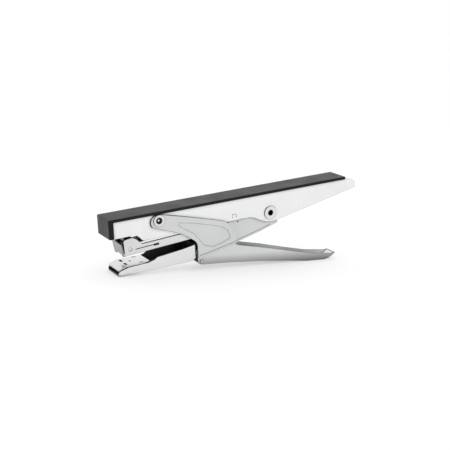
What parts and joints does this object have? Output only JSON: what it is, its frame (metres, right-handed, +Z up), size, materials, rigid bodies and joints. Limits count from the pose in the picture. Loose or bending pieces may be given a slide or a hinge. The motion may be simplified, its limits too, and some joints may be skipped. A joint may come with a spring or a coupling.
{
  "type": "stapler",
  "caption": "Hand-held plier stapler: chromed sheet steel frame and lower handle, dark plastic cap, swinging magazine and anvil jaw.",
  "frame": {"origin": "centre of the bounding box in plan, on the surface the tool stands on", "axes": "+X back along the tool from its nose, +Y across it to its right-hand side, +Z up"},
  "size_m": [0.19, 0.0198, 0.0614],
  "materials": {
    "cap_plastic": "satin moulded plastic, nearly black",
    "frame_chrome": "bright nickel-chrome plate on pressed sheet, lightly brushed",
    "plate_chrome": "satin nickel-chrome plate on pressed sheet",
    "hard_steel": "hardened steel, ground",
    "wire_steel": "drawn wire, zinc plated"
  },
  "bodies": {
    "frame": {"frame_channel": "frame_chrome", "top_cover": "cap_plastic", "driver_blade": "hard_steel", "driver_rivet": "hard_steel", "side_plate_left": "plate_chrome", "side_plate_right": "plate_chrome", "front_rivet": "plate_chrome", "rear_rivet": "frame_chrome", "pivot_bush": "hard_steel", "handle_hinge_pin": "hard_steel"},
    "magazine": {"magazine_sheath": "frame_chrome", "magazine_front_plate": "plate_chrome", "staple_guide": "frame_chrome", "staple_strip": "wire_steel", "guide_rod": "wire_steel", "spring_stop": "hard_steel", "pusher_spring": "wire_steel", "magazine_return_spring": "wire_steel"},
    "pusher": {"staple_pusher": "hard_steel"},
    "jaw": {"anvil_arm": "frame_chrome", "anvil_plate": "frame_chrome"},
    "handle": {"lower_handle": "frame_chrome", "thrust_pin": "hard_steel", "hinge_spacer": "hard_steel", "handle_return_spring": "wire_steel"}
  },
  "joints": [
    {"name": "handle_pivot", "type": "hinge", "parent": "frame", "child": "handle", "pos_m": [-0.02519, 0, 0.01244], "axis": [0, -1, 0], "range_deg": [0, 18], "stiffness_Nm_per_rad": 1, "springref_deg": -14.32},
    {"name": "jaw_pivot", "type": "hinge", "parent": "frame", "child": "jaw", "pos_m": [0.02461, 0, 0.03759], "axis": [0, 1, 0], "range_deg": [0, 8.2]},
    {"name": "magazine_pivot", "type": "hinge", "parent": "frame", "child": "magazine", "pos_m": [0.02461, 0, 0.03759], "axis": [0, 1, 0], "range_deg": [0, 5.2]},
    {"name": "pusher_slide", "type": "slide", "parent": "magazine", "child": "pusher", "axis": [0.9821, 0, 0.1882], "range_m": [0, 0.02], "stiffness_N_per_m": 80, "springref_m": -0.02}
  ],
  "couplings": [
    {"joint": "jaw_pivot", "follows": "handle_pivot", "ratio": 0.455},
    {"joint": "magazine_pivot", "follows": "handle_pivot", "ratio": 0.286}
  ]
}
